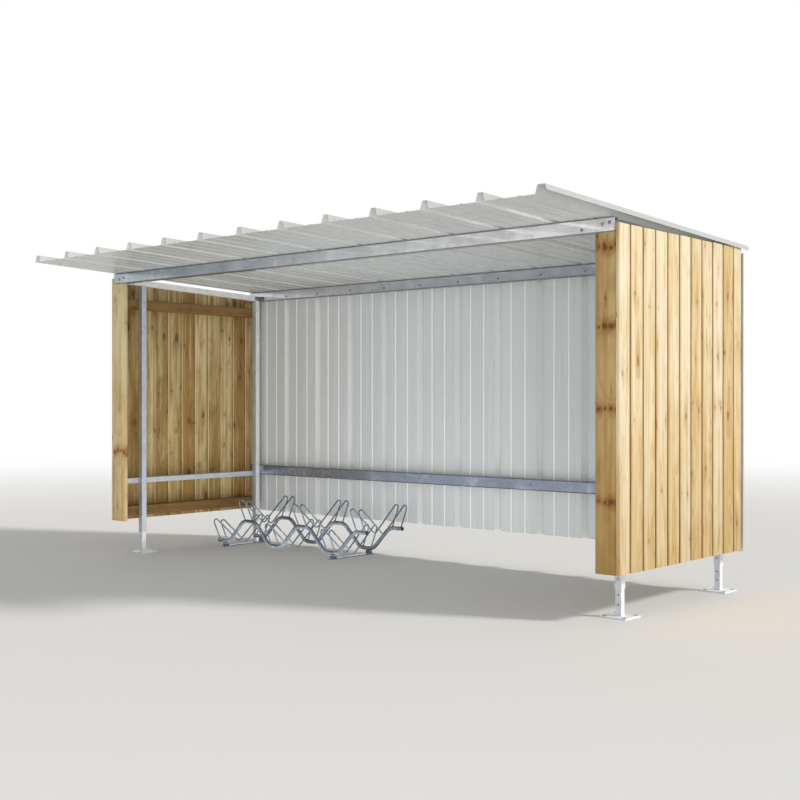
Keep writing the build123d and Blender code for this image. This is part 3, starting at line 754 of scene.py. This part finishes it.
def frame_bolts():
    """Bolts of the beams, the mid rail and the cleats."""
    bag = Bag()
    out = (0, -1, 0)
    for x, z in FRONT_BEAM_BOLTS:
        hex_bolt(bag, (x, BEAM_FRONT, z), out, FRAME_BOLT)
    for x in MID_RAIL_BOLTS:
        hex_bolt(bag, (x, REAR_FACE, RAIL_MIDDLE), out, FRAME_BOLT)
    for n in range(RIBS - 1):
        hex_bolt(bag, (rib_x(n) + REAR_BOLT_ASIDE, REAR_FACE, REAR_BOLT_HEIGHT), out, SMALL_BOLT)
    front_z = BEAM_BOTTOM + CLEAT_BOLT_UP
    rear_z = front_z - (REAR_FACE - BEAM_BACK) * tan(SLOPE)
    for side, post in ((1, LEFT_POST), (-1, RIGHT_POST)):
        x = post + side * (POST_HALF + CLEAT_GAP)
        for way, y, z in ((1, BEAM_BACK, front_z), (-1, REAR_FACE, rear_z)):
            hex_bolt(bag, (x + side * CLEAT_WALL, y + way * CLEAT_BOLT, z), (side, 0, 0), SMALL_BOLT)
            on_beam = (x + side * CLEAT_BOLT, y + way * (CLEAT_WALL + CLEAT_GAP), z)
            hex_bolt(bag, on_beam, (0, way, 0), SMALL_BOLT)
    bag.make("frame_bolts", bolt_zinc, "cleat_zinc", sharp=25)


def foot_bolts():
    """Bolts through the posts into the feet's legs."""
    bag = Bag()
    for x, y in LEGS:
        hex_bolt(bag, (x, y - POST_HALF, FOOT_BOLT_HEIGHT), (0, -1, 0), FRAME_BOLT)
    bag.make("foot_bolts", post_zinc, "foot_zinc", sharp=25)


def foot_welds(dice):
    """Rippled beads round the legs, on the base plates."""
    bag = Bag()
    steps = 12
    half = LEG_HALF
    corners = [(-half, -half), (half, -half), (half, half), (-half, half), (-half, -half)]
    for x, y in LEGS:
        for (ax, ay), (bx, by) in zip(corners, corners[1:]):
            out = Vector((ay - by, bx - ax, 0)).normalized() * -1
            points = []
            for n in range(steps + 1):
                t = n / steps
                swell = BEAD + 0.7 * MM * sin(n * 2.9) + dice.uniform(0, 0.4 * MM)
                up = Vector((0, 0, swell))
                here = Vector((x + ax + (bx - ax) * t, y + ay + (by - ay) * t, BASE_PLATE))
                points += [here + up, here + out * swell * 0.75 + up * 0.45, here + out * swell * 1.15, here]
            bag.add(points, lofted(steps + 1, 4))
    bag.make("foot_welds", foot_zinc, "foot_zinc", sharp=60)


def sheet_screws(dice):
    """Screws on the roof's ribs over both beams, and in the wall's pans."""
    heads, seals = Bag(), Bag()
    slope_up = (0, sin(SLOPE), cos(SLOPE))
    for n in range(RIBS):
        for y in ((BEAM_FRONT + BEAM_BACK) / 2, (REAR_FACE + REAR_BACK) / 2):
            under = BEAM_TOP + 0.3 * MM - (y - BEAM_BACK) * tan(SLOPE)
            top = under + (RIB_HEIGHT + SHEET) / cos(SLOPE)
            sheet_screw(heads, seals, (rib_x(n), y, top), slope_up, dice.uniform(0, 1))
    for n in range(RIBS - 1):
        for z in (REAR_TOP - WALL_SCREW_DOWN, RAIL_MIDDLE):
            at = (rib_x(n) + WALL_SCREW_ASIDE, WALL_FACE + SHEET, z + dice.uniform(-1, 1) * MM)
            sheet_screw(heads, seals, at, (0, 1, 0), dice.uniform(0, 1))
    heads.make("sheet_screws", bolt_zinc, "cleat_zinc", sharp=25)
    seals.make("sheet_screw_seals", plastic, "cleat_zinc", sharp=25)


frame_bolts()
foot_bolts()
fixing_dice = random.Random(8)
foot_welds(fixing_dice)
sheet_screws(fixing_dice)


# wheel rack
RACK_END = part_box("rack_front_tube")[1][X]
TUBE_Y = (middle("rack_front_tube", Y), middle("rack_rear_tube", Y))
RACK_Y, GAUGE = (TUBE_Y[0] + TUBE_Y[1]) / 2, TUBE_Y[1] - TUBE_Y[0]
TUBE_R, WIRE_R = 13.5 * MM, 5 * MM
PLACE_PITCH, HIGH, LOW = 277 * MM, 198 * MM, 41 * MM
END_FLAT, FLAT, TUBE_BEND = 55 * MM, 62 * MM, 90 * MM
SLOT = 68 * MM
# a hairpin's centre, from the rack's middle and above its tube, and its radius
REACH, LIFT, HAIRPIN = 220 * MM, 138 * MM, 20 * MM
VALLEY, VALLEY_BEND = 28 * MM, 28 * MM
WIRE_BEAD = 2.0 * MM
high_places = [RACK_END - END_FLAT - 2 * PLACE_PITCH * n for n in range(3)]
low_places = [x - PLACE_PITCH for x in high_places]
places = sorted(high_places + low_places)
left_end = places[0] - END_FLAT


def height_of(place):
    """Height of the tubes' middle at a place."""
    return HIGH if place in high_places else LOW


def rounded(corners, radius, steps):
    """Plane path with a round arc at every inner corner."""
    points = [corners[0]]
    for before, here, after in zip(corners, corners[1:], corners[2:]):
        into = atan2(here[1] - before[1], here[0] - before[0])
        turn = remainder(atan2(after[1] - here[1], after[0] - here[0]) - into, 2 * pi)
        way = 1 if turn > 0 else -1
        out = radius / cos(turn / 2) * way
        centre = (here[0] - out * sin(into + turn / 2), here[1] + out * cos(into + turn / 2))
        for n in range(steps + 1):
            angle = into + turn * n / steps
            points.append((centre[0] + radius * way * sin(angle), centre[1] - radius * way * cos(angle)))
    return points + [corners[-1]]


def rack_tubes():
    """The two tubes, flat at each place and bent down or up between them."""
    corners = [(left_end, LOW)]
    for x in places:
        if x > places[0]:
            corners.append((x - FLAT, height_of(x)))
        if x < places[-1]:
            corners.append((x + FLAT, height_of(x)))
    corners.append((RACK_END, HIGH))
    wave = rounded(corners, TUBE_BEND, 12)
    for y, node in zip(TUBE_Y, ("rack_front_tube", "rack_rear_tube")):
        bag = Bag()
        tube(bag, [(x, y, z) for x, z in wave], TUBE_R, 24)
        bag.make(node + "_bent", rack_zinc, "rack_tube_zinc", stands_for=(node,), sharp=50)


def rack_caps():
    """Domed caps in the tubes' ends."""
    bag = Bag()
    r = TUBE_R + 0.2 * MM
    profile = [(r, 0), (r, 2.2 * MM), (r * 0.94, 3.6 * MM), (r * 0.75, 4.4 * MM), (r * 0.4, 4.8 * MM)]
    for y in TUBE_Y:
        for x, z, way in ((RACK_END, HIGH, 1), (left_end, LOW, -1)):
            turned(bag, (x - way * 1.2 * MM, y, z), (way, 0, 0), profile, 24)
    bag.make("rack_tube_caps", plastic, "rack_tube_zinc", sharp=60)


def hairpin(foot, centre, valley, steps):
    """Arc round a hairpin's centre, from the line out of the foot to the line into the valley."""
    to_centre = (centre[0] - foot[0], centre[1] - foot[1])
    leg = atan2(to_centre[1], to_centre[0]) - asin(HAIRPIN / hypot(*to_centre))
    from_valley = (centre[0] - valley[0], centre[1] - valley[1])
    line = atan2(from_valley[1], from_valley[0]) + asin(HAIRPIN / hypot(*from_valley)) + pi
    angles = [leg + (line - leg) * n / steps for n in range(steps + 1)]
    return [(centre[0] + HAIRPIN * sin(angle), centre[1] - HAIRPIN * cos(angle)) for angle in angles]


def weld_ring(bag, at, direction, radius, seed):
    """Rippled fillet where a wire meets a tube."""
    dice = random.Random(seed)
    axis = Vector(direction).normalized()
    count, ring = 14, 6
    points, faces = [], []
    for n, out in enumerate(around(direction, count)):
        swell = WIRE_BEAD + 0.3 * MM * sin(6 * pi * n / count + seed) + dice.uniform(0, 0.3 * MM)
        after = (n + 1) % count
        for k in range(ring):
            turn = 2 * pi * k / ring
            points.append(Vector(at) + out * (radius + swell * 0.6 * cos(turn)) + axis * swell * sin(turn))
            beside = (k + 1) % ring
            faces.append((n * ring + k, after * ring + k, after * ring + beside, n * ring + beside))
    bag.add(points, faces)


def wire_pair(number, x, beads):
    """The two bent wires of one place, each a hairpin before and behind with a valley between."""
    foot = (GAUGE / 2, height_of(x))
    centre = (REACH, height_of(x) + LIFT)
    valley = (0.0, height_of(x) - VALLEY)
    bend = hairpin(foot, centre, valley, 12)
    lean = Vector((bend[0][0] - foot[0], bend[0][1] - foot[1])).normalized()
    start = (foot[0] + lean[0] * (TUBE_R - MM), foot[1] + lean[1] * (TUBE_R - MM))
    half = [start] + bend
    low = rounded([half[-1], valley, (-half[-1][0], half[-1][1])], VALLEY_BEND, 8)[1:-1]
    whole = half + low + [(-along, z) for along, z in reversed(half)]
    seat = [foot[i] + lean[i] * (TUBE_R + 0.5 * MM) for i in range(2)]
    bag = Bag()
    for wire_x in (x - SLOT / 2 - WIRE_R, x + SLOT / 2 + WIRE_R):
        tube(bag, [(wire_x, RACK_Y + along, z) for along, z in whole], WIRE_R, 12)
        for way in (1, -1):
            weld_ring(beads, (wire_x, RACK_Y + way * seat[0], seat[1]), (0, way * lean[0], lean[1]),
                      WIRE_R + 0.8 * MM, number * 7 + way)
    bag.make("rack_bent_wires_" + str(number), rack_zinc, "rack_wire_zinc",
             stands_for=("rack_wires_" + str(number),), sharp=50)


rack_tubes()
rack_caps()
rack_beads = Bag()
for number, x in enumerate(places, start=1):
    wire_pair(number, x, rack_beads)
rack_beads.make("rack_welds", rack_zinc, "rack_wire_zinc", sharp=70)


# floor, background, lamps and camera
WHITE = (1.0, 1.0, 1.0, 1.0)
SUNLIGHT, SOFT_WHITE = (1.0, 0.965, 0.90), (1.0, 0.99, 0.97)


def stage_floor():
    """A pale floor. Far away the camera sees it fade to white."""
    size = 90.0
    corners = [(-size, -size, 0), (size, -size, 0), (size, size, 0), (-size, size, 0)]
    mesh = bpy.data.meshes.new("stage_floor")
    mesh.from_pydata(corners, [], [(0, 1, 2, 3)])
    material = bpy.data.materials.new("stage_floor_paint")
    material.use_nodes = True
    m = Nodes(material.node_tree)
    paint = m.new("BsdfDiffuse", Color=(0.85, 0.84, 0.825, 1.0))
    glow = m.new("Emission", Color=WHITE)
    away = m.new("VectorMath")
    away.operation = "LENGTH"
    m.put(m.new("NewGeometry").outputs["Position"], away.inputs[0])
    far = m.soft(away.outputs["Value"], 3.5, 16.0)
    seen = m.times(far, m.new("LightPath").outputs["Is Camera Ray"])
    m.new("OutputMaterial", Surface=m.mixed(seen, paint, glow))
    mesh.materials.append(material)
    floor = bpy.data.objects.new("stage_floor", mesh)
    bpy.context.scene.collection.objects.link(floor)


def background():
    """Pure white for the camera, mirrors and glass, a cooler and weaker light for everything else."""
    world = bpy.data.worlds.new("studio")
    bpy.context.scene.world = world
    world.use_nodes = True
    m = Nodes(world.node_tree)
    ambient = m.new("Background", Color=(0.97, 0.985, 1.0, 1.0), Strength=0.50)
    white = m.new("Background", Color=WHITE, Strength=1.0)
    path = m.new("LightPath").outputs
    seen = m.math("MAXIMUM", path["Is Camera Ray"], path["Is Glossy Ray"])
    seen = m.math("MAXIMUM", seen, path["Is Transmission Ray"])
    m.new("OutputWorld", Surface=m.mixed(seen, ambient, white))


def lamp(name, kind, energy, colour, toward, at=(0.0, 0.0, 0.0), **settings):
    """A lamp at a place, shining against the direction that points back towards it."""
    data = bpy.data.lights.new(name, kind)
    data.energy = energy
    data.color = colour
    for setting, value in settings.items():
        setattr(data, setting, value)
    thing = bpy.data.objects.new(name, data)
    thing.location = at
    thing.rotation_euler = Vector(toward).to_track_quat("Z", "Y").to_euler()
    thing.visible_camera = False
    bpy.context.scene.collection.objects.link(thing)


def panel_lamp(name, energy, at, toward, width, height):
    """A soft white lamp with a rectangular face."""
    lamp(name, "AREA", energy, SOFT_WHITE, toward, at=at, shape="RECTANGLE", size=width, size_y=height)


stage_floor()
background()
lamp("key", "SUN", 1.85, SUNLIGHT, (0.76, 0.36, 0.62), angle=radians(9))
# low and wide, as light comes back from bright ground in front of the open side
panel_lamp("front_fill", 130.0, (5.8, -7.4, 0.6), (5.4, -7.2, -0.75), 4.5, 0.9)
panel_lamp("right_fill", 60.0, (12.0, -6.0, 1.2), (12.5, -6.2, 0.0), 5.0, 1.5)
# light that comes up from the floor inside
panel_lamp("ground_glow", 18.0, (-0.3, -0.3, 0.02), (0.0, 0.0, -1.0), 3.0, 2.0)

camera_data = bpy.data.cameras.new("view")
camera_data.lens = 53.767
camera_data.sensor_width = 36.0
camera = bpy.data.objects.new("view", camera_data)
camera.location = (5.021, -5.417, 1.0806)
camera.rotation_euler = (radians(90), 0.0, radians(41.024))
bpy.context.scene.collection.objects.link(camera)
bpy.context.scene.camera = camera
bpy.context.scene.view_settings.view_transform = "Standard"
